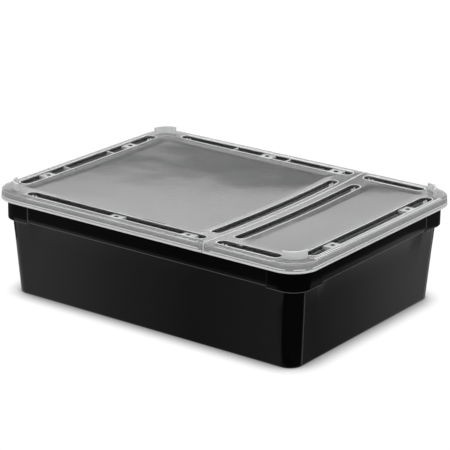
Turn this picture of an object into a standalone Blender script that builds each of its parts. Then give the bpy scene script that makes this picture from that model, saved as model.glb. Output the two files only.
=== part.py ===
"""Low oblong keeping tub with a translucent press-on lid. The lid's end section is a flap on a moulded
living hinge. Metres, +Z up, origin on the floor under the tub's middle, flap at the +X end."""

import math

import bmesh
import bpy
from mathutils import Matrix, Vector

# Lid: outer size, and the heights of its skirt and top plane above the floor.
LID_LENGTH = 0.320
LID_WIDTH = 0.240
LID_CORNER = 0.024
LID_TOP = 0.0938
SKIRT_BOTTOM = 0.0854
LID_WALL = 0.0015
LID_EDGE = 0.0012

# Snap bead inside the skirt. It stops short of the rim, so that the lid lifts straight off.
BEAD_DEPTH = 0.0008
BEAD_HEIGHT = 0.0016
BEAD_Z = 0.0866

# Troughs pressed into the lid: one along each edge of each half, and one on each side of the hinge.
TROUGH_WIDTH = 0.0108
HINGE_TROUGH_WIDTH = 0.0098
TROUGH_DEPTH = 0.0036
TROUGH_WALL = 0.0012
TROUGH_INSET = 0.0120
LIP_WIDTH = 0.0010
LIP_HEIGHT = 0.0005
END_TROUGH_HALF = 0.0915
SIDE_TROUGH_MAIN = (-0.1260, 0.0600)
SIDE_TROUGH_FLAP = (0.0730, 0.1330)
HINGE_TROUGH_MAIN_X = 0.0565
HINGE_TROUGH_FLAP_X = 0.0795

# Bridges across the troughs, with an air hole through each wide one.
BRIDGE_DROP = 0.0015
BRIDGE_LENGTH = 0.0130
RIB_LENGTH = 0.0016
AIR_HOLE = 0.0042
END_BRIDGE_Y = 0.0570
END_RIB_Y = 0.0300
SIDE_BRIDGES_X = (-0.0310, 0.0430)
SIDE_RIBS_X = (-0.0670, -0.0090)

# Shallow pans that make up the two panels.
PAN_DEPTH = 0.0018
PAN_SLOPE = 0.0060
PAN_CORNER = 0.0100

# Living hinge between the lid and its flap.
HINGE_X = 0.0655
SPLIT_GAP = 0.0003
WEB_WIDTH = 0.0020
WEB_THICKNESS = 0.0004
WEB_DROP = 0.0003
PIVOT_RISE = 0.0002

# Stacking posts: quarter rings round the centres of the lid's corners.
POST_RADIUS = 0.0145
POST_WALL = 0.0014
POST_HEIGHT = 0.0067

# Tub: tapered box, collar under the lid with prouder corners, and rim inside the skirt.
BASE_LENGTH = 0.29075
BASE_WIDTH = 0.2100
TUB_CORNER = 0.0123
TUB_EDGE = 0.0025
TUB_WALL = 0.0018
TUB_FLOOR = 0.0020
COLLAR_LENGTH = 0.3070
COLLAR_WIDTH = 0.2262
COLLAR_CORNER = 0.0160
COLLAR_BOTTOM = 0.0685
COLLAR_TOP = 0.0862
SHOULDER_LENGTH = 0.3000
SHOULDER_WIDTH = 0.2192
PAD_PROUD = 0.0008
PAD_DROP = 0.0012
PAD_REACH = 0.0200
RIM_INSET = 0.0028
RIM_TOP = 0.0920
RIM_WALL = 0.0021

OVERLAP = 0.0040
CORNER_STEPS = 8
END_STEPS = 6


def clear_scene():
    for item in list(bpy.data.objects):
        bpy.data.objects.remove(item)


def new_collection(name, shown):
    collection = bpy.data.collections.new(name)
    collection.hide_render = not shown
    bpy.context.scene.collection.children.link(collection)
    return collection


def plastic(name, colour, roughness, alpha=1.0):
    material = bpy.data.materials.new(name)
    material.use_nodes = True
    shader = material.node_tree.nodes["Principled BSDF"]
    shader.inputs["Base Color"].default_value = (*colour, 1.0)
    shader.inputs["Roughness"].default_value = roughness
    shader.inputs["Metallic"].default_value = 0.0
    shader.inputs["Alpha"].default_value = alpha
    return material


def add_object(name, bm, collection):
    bmesh.ops.recalc_face_normals(bm, faces=bm.faces)
    mesh = bpy.data.meshes.new(name)
    bm.to_mesh(mesh)
    bm.free()
    item = bpy.data.objects.new(name, mesh)
    collection.objects.link(item)
    if collection.hide_render:
        item.hide_render = True
        item.display_type = "WIRE"
    return item


def rounded_block(name, collection, low, high, z, corner=0.0, steps=CORNER_STEPS, centre=(0, 0), edges=None):
    """A box from z[0] to z[1], low = (length, width) at its foot and high at its top, with round upright
    edges. edges = (height, radius) rounds the edges round its face at that height."""
    bm = bmesh.new()
    bmesh.ops.create_cube(bm, size=1.0)
    for vert in bm.verts:
        top = vert.co.z > 0
        length, width = high if top else low
        vert.co.x = centre[0] + math.copysign(length / 2, vert.co.x)
        vert.co.y = centre[1] + math.copysign(width / 2, vert.co.y)
        vert.co.z = z[1] if top else z[0]
    if corner:
        upright = [e for e in bm.edges if abs(e.verts[0].co.z - e.verts[1].co.z) > (z[1] - z[0]) / 2]
        bmesh.ops.bevel(bm, geom=upright, offset=corner, segments=steps, affect="EDGES", profile=0.5, material=-1)
    if edges:
        height, radius = edges
        ring = [e for e in bm.edges if all(abs(v.co.z - height) < 1e-6 for v in e.verts)]
        bmesh.ops.bevel(bm, geom=ring, offset=radius, segments=3, affect="EDGES", profile=0.5, material=-1)
    return add_object(name, bm, collection)


def box(name, collection, x, y, z):
    """A plain box between two limits on each axis."""
    size = (x[1] - x[0], y[1] - y[0])
    return rounded_block(name, collection, size, size, z, centre=(sum(x) / 2, sum(y) / 2))


def stadium(name, collection, centre, size, z, grow=0.0):
    """An upright prism whose outline is a slot with round ends, grown by grow all round."""
    grown = (size[0] + 2 * grow, size[1] + 2 * grow)
    return rounded_block(name, collection, grown, grown, z, 0.98 * min(grown) / 2, END_STEPS, centre)


def boolean(item, operation, tools):
    """Joins, cuts or limits item with one object or with all objects in a collection."""
    modifier = item.modifiers.new(f"{operation.title()} {tools.name}", "BOOLEAN")
    modifier.operation = operation
    modifier.solver = "EXACT"
    if isinstance(tools, bpy.types.Collection):
        modifier.operand_type = "COLLECTION"
        modifier.collection = tools
    else:
        modifier.object = tools


def tool_group(name, parent):
    group = bpy.data.collections.new(name)
    group.hide_render = True
    parent.children.link(group)
    return group


def trough_places():
    """(name, centre, size) of each trough's outline in the lid's top plane."""
    end_x = LID_LENGTH / 2 - TROUGH_INSET
    side_y = LID_WIDTH / 2 - TROUGH_INSET
    places = []
    for x in (-end_x, end_x):
        places.append(((x, 0.0), (TROUGH_WIDTH, 2 * END_TROUGH_HALF)))
    for x in (HINGE_TROUGH_MAIN_X, HINGE_TROUGH_FLAP_X):
        places.append(((x, 0.0), (HINGE_TROUGH_WIDTH, 2 * END_TROUGH_HALF)))
    for y in (-side_y, side_y):
        for start, stop in (SIDE_TROUGH_MAIN, SIDE_TROUGH_FLAP):
            places.append((((start + stop) / 2, y), (stop - start, TROUGH_WIDTH)))
    return [(f"trough_{number}", *place) for number, place in enumerate(places)]


def bridge_places():
    """(centre, length along the trough, trough runs along X) of each bridge and rib in the edge troughs."""
    end_x = LID_LENGTH / 2 - TROUGH_INSET
    side_y = LID_WIDTH / 2 - TROUGH_INSET
    places = []
    for side in (-1, 1):
        for y in (-END_BRIDGE_Y, END_BRIDGE_Y):
            places.append(((side * end_x, y), BRIDGE_LENGTH, False))
        for y in (-END_RIB_Y, END_RIB_Y):
            places.append(((side * end_x, y), RIB_LENGTH, False))
        for x in SIDE_BRIDGES_X:
            places.append(((x, side * side_y), BRIDGE_LENGTH, True))
    for x in SIDE_RIBS_X:
        places.append(((x, side_y), RIB_LENGTH, True))
    return places


def pan_places():
    """(name, low x, high x) of the flat field inside the troughs, for the lid and for the flap."""
    reach = LID_LENGTH / 2 - TROUGH_INSET - TROUGH_WIDTH / 2 - TROUGH_WALL
    half = TROUGH_WIDTH / 2 + TROUGH_WALL
    return (
        ("pan_main", -reach, HINGE_TROUGH_MAIN_X - half),
        ("pan_flap", HINGE_TROUGH_FLAP_X + half, reach),
    )


def post(name, collection, corner_x, corner_y):
    """A quarter ring that stands on the lid, convex towards the lid's corner."""
    bm = bmesh.new()
    bmesh.ops.create_grid(bm, x_segments=1, y_segments=1, size=0.5)
    foot = LID_TOP - LID_WALL / 2
    for vert in bm.verts:
        outer = vert.co.x > 0
        top = vert.co.y > 0
        vert.co = (POST_RADIUS - (0 if outer else POST_WALL), 0, LID_TOP + POST_HEIGHT if top else foot)
    bmesh.ops.spin(bm, geom=bm.faces[:], cent=(0, 0, 0), axis=(0, 0, 1), angle=math.pi / 2, steps=CORNER_STEPS)
    turn = math.atan2(corner_y, corner_x) - math.pi / 4
    middle = Vector((
        math.copysign(LID_LENGTH / 2 - LID_CORNER, corner_x),
        math.copysign(LID_WIDTH / 2 - LID_CORNER, corner_y),
        0,
    ))
    bmesh.ops.transform(bm, matrix=Matrix.Translation(middle) @ Matrix.Rotation(turn, 4, "Z"), verts=bm.verts)
    return add_object(name, bm, collection)


def make_lid_tools(cutters):
    """The groups of shapes that turn a flat-topped shell into the moulded lid, in the order of use."""
    hollow, added, pressed, bridges, holes = (
        tool_group(name, cutters)
        for name in ("lid_hollow", "lid_added", "lid_pressed", "lid_bridges", "lid_holes")
    )
    inside = (LID_LENGTH - 2 * LID_WALL, LID_WIDTH - 2 * LID_WALL)
    inside_corner = LID_CORNER - LID_WALL
    bead = (inside[0] - 2 * BEAD_DEPTH, inside[1] - 2 * BEAD_DEPTH)
    bead_low = BEAD_Z - BEAD_HEIGHT / 2
    bead_high = BEAD_Z + BEAD_HEIGHT / 2
    rounded_block("hollow_low", hollow, inside, inside, (SKIRT_BOTTOM - OVERLAP, bead_low), inside_corner)
    rounded_block("hollow_bead", hollow, bead, bead, (bead_low - OVERLAP, bead_high + OVERLAP),
                  inside_corner - BEAD_DEPTH)
    rounded_block("hollow_high", hollow, inside, inside, (bead_high, LID_TOP - LID_WALL), inside_corner)
    floor = LID_TOP - TROUGH_DEPTH
    for name, centre, size in trough_places():
        stadium(f"{name}_body", added, centre, size, (floor - TROUGH_WALL, LID_TOP - LID_WALL / 2), TROUGH_WALL)
        stadium(f"{name}_lip", added, centre, size, (LID_TOP - LID_WALL / 2, LID_TOP + LIP_HEIGHT), LIP_WIDTH)
        stadium(f"{name}_cut", pressed, centre, size, (floor, LID_TOP + OVERLAP))
    pan_width = LID_WIDTH - 2 * TROUGH_INSET - TROUGH_WIDTH - 2 * TROUGH_WALL
    pan_floor = LID_TOP - PAN_DEPTH
    for name, low_x, high_x in pan_places():
        high = (high_x - low_x, pan_width)
        low = (high[0] - 2 * PAN_SLOPE, high[1] - 2 * PAN_SLOPE)
        body = (low[0] + PAN_SLOPE, low[1] + PAN_SLOPE)
        middle = ((low_x + high_x) / 2, 0)
        rounded_block(f"{name}_body", added, body, body, (pan_floor - LID_WALL, LID_TOP - LID_WALL / 2),
                      PAN_CORNER, centre=middle)
        rounded_block(f"{name}_cut", pressed, low, high, (pan_floor, LID_TOP), PAN_CORNER, centre=middle)
        rounded_block(f"{name}_open", pressed, high, high, (LID_TOP - 1e-5, LID_TOP + OVERLAP), PAN_CORNER,
                      centre=middle)
    for side_x in (-1, 1):
        for side_y in (-1, 1):
            post(f"post_{side_x + 1}{side_y + 1}", added, side_x, side_y)
    across = TROUGH_WIDTH + TROUGH_WALL
    bridge_z = (floor - TROUGH_WALL / 2, LID_TOP - BRIDGE_DROP)
    for number, (centre, length, along_x) in enumerate(bridge_places()):
        size = (length, across) if along_x else (across, length)
        rounded_block(f"bridge_{number}", bridges, size, size, bridge_z, centre=centre)
        if length == BRIDGE_LENGTH:
            hole = (AIR_HOLE, AIR_HOLE)
            stadium(f"air_hole_{number}", holes, centre, hole, (floor - OVERLAP, LID_TOP + OVERLAP))
    return (("DIFFERENCE", hollow), ("UNION", added), ("DIFFERENCE", pressed), ("UNION", bridges),
            ("DIFFERENCE", holes))


def lid_blank(name, collection, steps):
    size = (LID_LENGTH, LID_WIDTH)
    item = rounded_block(name, collection, size, size, (SKIRT_BOTTOM, LID_TOP), LID_CORNER,
                         edges=(LID_TOP, LID_EDGE))
    for operation, tools in steps:
        boolean(item, operation, tools)
    return item


def make_lid(parts, cutters):
    """The lid and its flap, which are one moulding cut along the hinge line, and the thin web between them."""
    steps = make_lid_tools(cutters)
    reach = LID_LENGTH
    half_gap = SPLIT_GAP / 2
    tall = (SKIRT_BOTTOM - OVERLAP, LID_TOP + POST_HEIGHT + OVERLAP)
    groove = (HINGE_X - WEB_WIDTH / 2 - SPLIT_GAP, HINGE_X + WEB_WIDTH / 2 + SPLIT_GAP)
    web_top = LID_TOP - WEB_DROP
    web_z = (web_top - WEB_THICKNESS, web_top)
    trench = box("hinge_trench", cutters, groove, (-reach, reach), (web_z[0] - SPLIT_GAP, LID_TOP + OVERLAP))
    main_side = box("main_side", cutters, (-reach, HINGE_X - half_gap), (-reach, reach), tall)
    flap_side = box("flap_side", cutters, (HINGE_X + half_gap, reach), (-reach, reach), tall)

    lid = lid_blank("main_lid", parts, steps)
    flap = lid_blank("feeding_flap", parts, steps)
    for item, side in ((lid, main_side), (flap, flap_side)):
        boolean(item, "DIFFERENCE", trench)
        boolean(item, "INTERSECT", side)

    pivot = Vector((HINGE_X, 0, LID_TOP + PIVOT_RISE))
    flap.data.transform(Matrix.Translation(-pivot))
    flap.parent = lid
    flap.location = pivot

    web_reach = LID_WIDTH / 2 - LID_WALL
    web = box("living_hinge", parts, (HINGE_X - WEB_WIDTH / 2, HINGE_X + WEB_WIDTH / 2),
              (-web_reach, web_reach), web_z)
    web.parent = lid

    clear = plastic("natural_polypropylene", (0.62, 0.63, 0.63), 0.28, 0.55)
    for item in (lid, flap, web):
        item.data.materials.append(clear)


def make_tub(parts, cutters):
    """The open tub: tapered box, stepped-out collar with four prouder corners, and rim."""
    added = tool_group("tub_added", cutters)
    inside = tool_group("tub_inside", cutters)
    collar = (COLLAR_LENGTH, COLLAR_WIDTH)
    tub = rounded_block("tub", parts, (BASE_LENGTH, BASE_WIDTH), (SHOULDER_LENGTH, SHOULDER_WIDTH),
                        (0, COLLAR_BOTTOM + TUB_WALL / 2), TUB_CORNER, edges=(0, TUB_EDGE))
    rounded_block("collar", added, collar, collar, (COLLAR_BOTTOM, COLLAR_TOP + TUB_WALL / 2), COLLAR_CORNER)

    proud = (COLLAR_LENGTH + 2 * PAD_PROUD, COLLAR_WIDTH + 2 * PAD_PROUD)
    pads = rounded_block("corner_pads", added, proud, proud, (COLLAR_BOTTOM - PAD_DROP, COLLAR_TOP + TUB_WALL / 4),
                         COLLAR_CORNER + PAD_PROUD, edges=(COLLAR_BOTTOM - PAD_DROP, PAD_DROP))
    between_x = COLLAR_LENGTH / 2 - PAD_REACH
    between_y = COLLAR_WIDTH / 2 - PAD_REACH
    pad_z = (COLLAR_BOTTOM - OVERLAP, COLLAR_TOP + OVERLAP)
    across_x = box("between_pads_x", cutters, (-between_x, between_x), (-LID_WIDTH, LID_WIDTH), pad_z)
    across_y = box("between_pads_y", cutters, (-LID_LENGTH, LID_LENGTH), (-between_y, between_y), pad_z)
    boolean(pads, "DIFFERENCE", across_x)
    boolean(pads, "DIFFERENCE", across_y)

    rim = (LID_LENGTH - 2 * RIM_INSET, LID_WIDTH - 2 * RIM_INSET)
    rounded_block("rim", added, rim, rim, (COLLAR_TOP, RIM_TOP), LID_CORNER - RIM_INSET)

    taper = ((SHOULDER_LENGTH - BASE_LENGTH) / COLLAR_BOTTOM, (SHOULDER_WIDTH - BASE_WIDTH) / COLLAR_BOTTOM)
    cavity_top = COLLAR_BOTTOM + TUB_WALL + OVERLAP
    low = tuple(size - 2 * TUB_WALL + slope * TUB_FLOOR for size, slope in zip((BASE_LENGTH, BASE_WIDTH), taper))
    high = tuple(size + slope * (cavity_top - TUB_FLOOR) for size, slope in zip(low, taper))
    rounded_block("cavity", inside, low, high, (TUB_FLOOR, cavity_top), TUB_CORNER - TUB_WALL,
                  edges=(TUB_FLOOR, TUB_EDGE))
    collar_inside = tuple(size - 2 * TUB_WALL for size in collar)
    shelf = COLLAR_BOTTOM + TUB_WALL
    rounded_block("collar_inside", inside, collar_inside, collar_inside, (shelf, COLLAR_TOP + OVERLAP),
                  COLLAR_CORNER - TUB_WALL)
    rim_inside = tuple(size - 2 * RIM_WALL for size in rim)
    rounded_block("rim_inside", inside, rim_inside, rim_inside, (COLLAR_TOP + TUB_WALL, RIM_TOP + OVERLAP),
                  LID_CORNER - RIM_INSET - RIM_WALL)
    boolean(tub, "UNION", added)
    boolean(tub, "DIFFERENCE", inside)
    tub.data.materials.append(plastic("black_polypropylene", (0.010, 0.010, 0.011), 0.22))


clear_scene()
PARTS = new_collection("keeping_tub", shown=True)
CUTTERS = new_collection("cutters", shown=False)
make_tub(PARTS, CUTTERS)
make_lid(PARTS, CUTTERS)
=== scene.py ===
"""Looks of the low keeping tub: a black moulded tub under a milky translucent lid whose end section is a
feeding flap on a living hinge. Metres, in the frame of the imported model."""

import math

import bmesh
import bpy
from mathutils import Matrix, Vector, noise


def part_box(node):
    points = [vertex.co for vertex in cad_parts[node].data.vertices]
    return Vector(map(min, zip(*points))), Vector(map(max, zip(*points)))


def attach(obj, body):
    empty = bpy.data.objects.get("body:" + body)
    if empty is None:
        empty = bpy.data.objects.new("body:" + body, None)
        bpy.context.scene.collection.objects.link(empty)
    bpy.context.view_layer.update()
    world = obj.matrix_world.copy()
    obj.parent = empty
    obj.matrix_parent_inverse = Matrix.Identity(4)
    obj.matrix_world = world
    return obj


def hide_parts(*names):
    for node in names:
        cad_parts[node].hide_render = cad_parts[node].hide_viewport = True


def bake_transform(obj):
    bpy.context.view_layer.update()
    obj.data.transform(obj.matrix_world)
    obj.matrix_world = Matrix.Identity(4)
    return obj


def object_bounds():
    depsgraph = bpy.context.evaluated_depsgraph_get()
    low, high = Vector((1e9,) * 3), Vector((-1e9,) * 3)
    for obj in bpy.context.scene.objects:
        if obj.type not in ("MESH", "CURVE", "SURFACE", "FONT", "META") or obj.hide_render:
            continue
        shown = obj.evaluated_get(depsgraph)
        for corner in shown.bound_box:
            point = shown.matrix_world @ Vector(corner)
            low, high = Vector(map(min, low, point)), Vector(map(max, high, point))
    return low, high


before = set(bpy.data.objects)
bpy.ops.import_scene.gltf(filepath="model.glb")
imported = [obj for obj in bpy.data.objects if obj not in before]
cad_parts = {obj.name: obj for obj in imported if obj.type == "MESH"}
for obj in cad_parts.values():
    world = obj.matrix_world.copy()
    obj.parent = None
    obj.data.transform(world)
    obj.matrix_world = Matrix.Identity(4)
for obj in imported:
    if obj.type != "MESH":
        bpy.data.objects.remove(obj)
cad_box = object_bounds()


# ------------------------------------------------------------------------------------------------------
# Camera. It stands in front of the long side, turned towards the flap end, a little above the lid, with a
# long lens, so that the edges stay nearly parallel.
CAMERA_AZIMUTH = math.radians(35.8648)
CAMERA_ELEVATION = math.radians(18.9327)
CAMERA_ROLL = math.radians(0.7689)
CAMERA_DISTANCE = 1.8038
AIM_ACROSS = 0.00176
AIM_UP = 0.05923
SENSOR = 36.0
LENS = 166.27

back = Vector((
    math.sin(CAMERA_AZIMUTH) * math.cos(CAMERA_ELEVATION),
    -math.cos(CAMERA_AZIMUTH) * math.cos(CAMERA_ELEVATION),
    math.sin(CAMERA_ELEVATION),
))
right = Vector((math.cos(CAMERA_AZIMUTH), math.sin(CAMERA_AZIMUTH), 0.0))
right = Matrix.Rotation(CAMERA_ROLL, 3, back) @ right
up = back.cross(right)

camera_data = bpy.data.cameras.new("camera")
camera_data.sensor_width = SENSOR
camera_data.lens = LENS
camera_data.clip_start = 0.05
camera_data.clip_end = 60.0
camera = bpy.data.objects.new("camera", camera_data)
camera.matrix_world = Matrix.Translation(
    right * AIM_ACROSS + up * AIM_UP + back * CAMERA_DISTANCE
) @ Matrix((right, up, back)).transposed().to_4x4()
bpy.context.scene.collection.objects.link(camera)
bpy.context.scene.camera = camera
bpy.context.scene.view_settings.view_transform = "Standard"


# ------------------------------------------------------------------------------------------------------
# Floor and light. A wide white table under soft light from above. The table throws little light back at a
# glancing angle, and in the tub's gloss it shows painted reflections: lighter and darker strips that stand in
# for reflectors beside the camera. So the tub's sides stay deep black.
FLOOR_SIZE = 40.0
SHADOW_REACH = 0.024
BOUNCE_LIGHT = 0.8
# Painted reflections: grey stops, (place, value), of the table's brightness in the tub's gloss, by place
# across the camera's view.
PAINTED_REFLECTION_START = -0.10
PAINTED_REFLECTION_LENGTH = 0.30
FRONT_PAINTED_REFLECTION = ((-0.10, 0.50), (-0.04, 0.46), (0.0, 0.35), (0.03, 0.245), (0.10, 0.12), (0.145, 0.165),
              (0.169, 0.20), (0.177, 0.01), (0.20, 0.01))
END_PAINTED_REFLECTION = ((-0.10, 0.50), (0.06, 0.42), (0.083, 0.33), (0.127, 0.17), (0.161, 0.10), (0.171, 0.12),
            (0.178, 0.02), (0.20, 0.01))
SHEET_HALF = (0.256, 0.229, 0.0)
SHEET_EDGE = 0.012
SHEET_DARK = 0.15
SMOOTH_UP_TO = math.radians(35.0)


def node(tree, kind, label, place, **values):
    """A shader node with its label and place; values set its properties."""
    made = tree.nodes.new(kind)
    made.label = label
    made.location = place
    for name, value in values.items():
        setattr(made, name, value)
    return made


def feed(tree, made, **inputs):
    """Sets or links the inputs of a node: a socket is linked and anything else is a value."""
    for name, value in inputs.items():
        socket = made.inputs[int(name[1:])] if name[0] == "_" else made.inputs[name.replace("_", " ")]
        if isinstance(value, bpy.types.NodeSocket):
            tree.links.new(value, socket)
        else:
            socket.default_value = value
    return made


def link_mesh(name, bm, materials):
    """A named object from a finished bmesh, at the origin, shaded smooth except at its sharp edges."""
    mesh = bpy.data.meshes.new(name)
    bm.to_mesh(mesh)
    bm.free()
    mesh.shade_smooth()
    mesh.set_sharp_from_angle(angle=SMOOTH_UP_TO)
    for material in materials:
        mesh.materials.append(material)
    made = bpy.data.objects.new(name, mesh)
    bpy.context.scene.collection.objects.link(made)
    return made


def set_ramp(ramp, stops):
    """Grey stops, (place, value), of a colour ramp."""
    elements = ramp.color_ramp.elements
    while len(elements) < len(stops):
        elements.new(1.0)
    for element, (place, value) in zip(elements, stops):
        element.position = place
        element.color = (value, value, value, 1.0)


def table_white():
    """White to the eye, with a soft shadow close round whatever stands on it. In the tub's gloss it is a dim
    sheet with painted reflections, lighter and darker strips that stand in for reflectors on both sides of
    the camera, and it is dark beyond its edges."""
    material = bpy.data.materials.new("table_white")
    material.use_nodes = True
    tree = material.node_tree
    tree.nodes.clear()
    occlusion = node(tree, "ShaderNodeAmbientOcclusion", "near the tub", (-900, 300), samples=16)
    feed(tree, occlusion, Distance=SHADOW_REACH)
    shade = node(tree, "ShaderNodeMapRange", "contact shadow", (-650, 300), interpolation_type="SMOOTHSTEP")
    feed(tree, shade, Value=occlusion.outputs["AO"], From_Min=0.30, From_Max=0.97, To_Min=0.16, To_Max=1.04)

    place = node(tree, "ShaderNodeTexCoord", "table place", (-1900, -100))
    turned = node(tree, "ShaderNodeMapping", "turned to the cards", (-1700, -100), vector_type="TEXTURE")
    feed(tree, turned, Vector=place.outputs["Object"], Rotation=(0.0, 0.0, -CAMERA_AZIMUTH))
    across = node(tree, "ShaderNodeSeparateXYZ", "across", (-1500, -100))
    feed(tree, across, Vector=turned.outputs[0])
    along = node(tree, "ShaderNodeMapRange", "along the cards", (-1300, -100))
    feed(tree, along, Value=across.outputs["X"], From_Min=PAINTED_REFLECTION_START, From_Max=PAINTED_REFLECTION_START + PAINTED_REFLECTION_LENGTH)
    # Painted reflections in the tub's gloss: one ramp for the front, one for the end.
    painted_reflections = []
    for label, painted_reflection, height in (("front card", FRONT_PAINTED_REFLECTION, 0), ("end card", END_PAINTED_REFLECTION, -250)):
        ramp = node(tree, "ShaderNodeValToRGB", label, (-1100, height))
        set_ramp(ramp, [((stop - PAINTED_REFLECTION_START) / PAINTED_REFLECTION_LENGTH, value) for stop, value in painted_reflection])
        feed(tree, ramp, Fac=along.outputs[0])
        painted_reflections.append(ramp.outputs["Color"])
    beyond = node(tree, "ShaderNodeMath", "past the corner", (-1100, 200), operation="GREATER_THAN")
    feed(tree, beyond, _0=across.outputs["Y"], _1=0.0)
    either = node(tree, "ShaderNodeMix", "either card", (-800, 0), data_type="FLOAT")
    feed(tree, either, _0=beyond.outputs[0], _2=painted_reflections[0], _3=painted_reflections[1])
    far = node(tree, "ShaderNodeVectorMath", "either side", (-1700, -500), operation="ABSOLUTE")
    feed(tree, far, _0=place.outputs["Object"])
    beside = node(tree, "ShaderNodeVectorMath", "from the sheet", (-1500, -500), operation="SUBTRACT")
    feed(tree, beside, _0=far.outputs[0], _1=SHEET_HALF)
    sides = node(tree, "ShaderNodeSeparateXYZ", "sides", (-1300, -500))
    feed(tree, sides, Vector=beside.outputs[0])
    reach = node(tree, "ShaderNodeMath", "nearest side", (-1100, -500), operation="MAXIMUM")
    feed(tree, reach, _0=sides.outputs["X"], _1=sides.outputs["Y"])
    sheet = node(tree, "ShaderNodeMapRange", "sheet edge", (-900, -500), interpolation_type="SMOOTHSTEP")
    feed(tree, sheet, Value=reach.outputs[0], From_Min=-SHEET_EDGE, From_Max=SHEET_EDGE, To_Min=1.0,
         To_Max=SHEET_DARK)
    dim = node(tree, "ShaderNodeMath", "seen in the gloss", (-450, -200), operation="MULTIPLY")
    feed(tree, dim, _0=either.outputs[0], _1=sheet.outputs[0])

    path = node(tree, "ShaderNodeLightPath", "ray kind", (-650, 600))
    glossy = node(tree, "ShaderNodeMix", "gloss or not", (-200, 100), data_type="FLOAT")
    feed(tree, glossy, _0=path.outputs["Is Glossy Ray"], _2=BOUNCE_LIGHT, _3=dim.outputs[0])
    seen = node(tree, "ShaderNodeMix", "seen or not", (0, 200), data_type="FLOAT")
    feed(tree, seen, _0=path.outputs["Is Camera Ray"], _2=glossy.outputs[0], _3=shade.outputs[0])
    glow = node(tree, "ShaderNodeEmission", "table light", (200, 200))
    feed(tree, glow, Strength=seen.outputs[0])
    output = node(tree, "ShaderNodeOutputMaterial", "output", (400, 200))
    tree.links.new(glow.outputs[0], output.inputs["Surface"])
    return material


bm = bmesh.new()
bmesh.ops.create_grid(bm, x_segments=8, y_segments=8, size=FLOOR_SIZE / 2)
floor = link_mesh("table", bm, [table_white()])

HORIZON_CARD = ((0.0, 1.12), (0.325, 1.12), (0.346, 0.22), (0.46, 0.22), (0.56, 1.0), (1.0, 1.0))


def studio_world():
    """Even white light. In a gloss it is a white backdrop that ends in a dim gap below the ceiling."""
    world = bpy.data.worlds.new("studio")
    world.use_nodes = True
    sky = world.node_tree
    place = node(sky, "ShaderNodeTexCoord", "direction", (-1100, 0))
    height = node(sky, "ShaderNodeSeparateXYZ", "height", (-900, 0))
    feed(sky, height, Vector=place.outputs["Generated"])
    ramp = node(sky, "ShaderNodeValToRGB", "backdrop and gap", (-700, 0))
    set_ramp(ramp, HORIZON_CARD)
    feed(sky, ramp, Fac=height.outputs["Z"])
    path = node(sky, "ShaderNodeLightPath", "ray kind", (-700, 400))
    even = node(sky, "ShaderNodeMath", "seen evenly", (-500, 300), operation="MAXIMUM")
    feed(sky, even, _0=path.outputs["Is Camera Ray"], _1=path.outputs["Is Diffuse Ray"])
    light = node(sky, "ShaderNodeMix", "light", (-250, 100), data_type="FLOAT")
    feed(sky, light, _0=even.outputs[0], _2=ramp.outputs["Color"], _3=1.0)
    background = sky.nodes["Background"]
    feed(sky, background, Color=(1.0, 1.0, 1.0, 1.0), Strength=light.outputs[0])
    return world


bpy.context.scene.world = studio_world()


def softbox(name, place, aim, size, power):
    """A square area light of size metres that looks from place to aim."""
    light = bpy.data.lights.new(name, "AREA")
    light.shape = "SQUARE"
    light.size = size
    light.energy = power
    made = bpy.data.objects.new(name, light)
    direction = Vector(place) - Vector(aim)
    made.matrix_world = Matrix.Translation(place) @ direction.to_track_quat("Z", "Y").to_matrix().to_4x4()
    bpy.context.scene.collection.objects.link(made)


softbox("overhead_softbox", (-0.1, 0.2, 1.7), (0.0, 0.0, 0.05), 1.6, 26.0)


# ------------------------------------------------------------------------------------------------------
# Tub. One injection moulding in black polypropylene: a tapered box with a stepped-out collar, a prouder pad
# round each corner of the collar, and a rim that the lid closes over. The mould leaves a fine satin gloss.
tub_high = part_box("tub")[1]
TUB_BASE = (0.1459, 0.1055)
TUB_SHOULDER = (0.1500, 0.1096)
TUB_COLLAR = (0.1535, 0.1131)
TUB_RIM = (tub_high.x, tub_high.y)
TUB_CORNER = 0.0123
COLLAR_CORNER = 0.0160
RIM_CORNER = 0.0212
SHOULDER_Z = 0.0685
COLLAR_Z = 0.0862
RIM_Z = tub_high.z
TUB_WALL = 0.0018
PAD_REACH = (0.0300, 0.0340)
PAD_PROUD = 0.0008
PAD_DROP = 0.0012
END_EDGE = 0.0003
CORNER_STEPS = 12


def once(items):
    """Each item once, in the order in which it first comes."""
    return list(dict.fromkeys(items))


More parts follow.
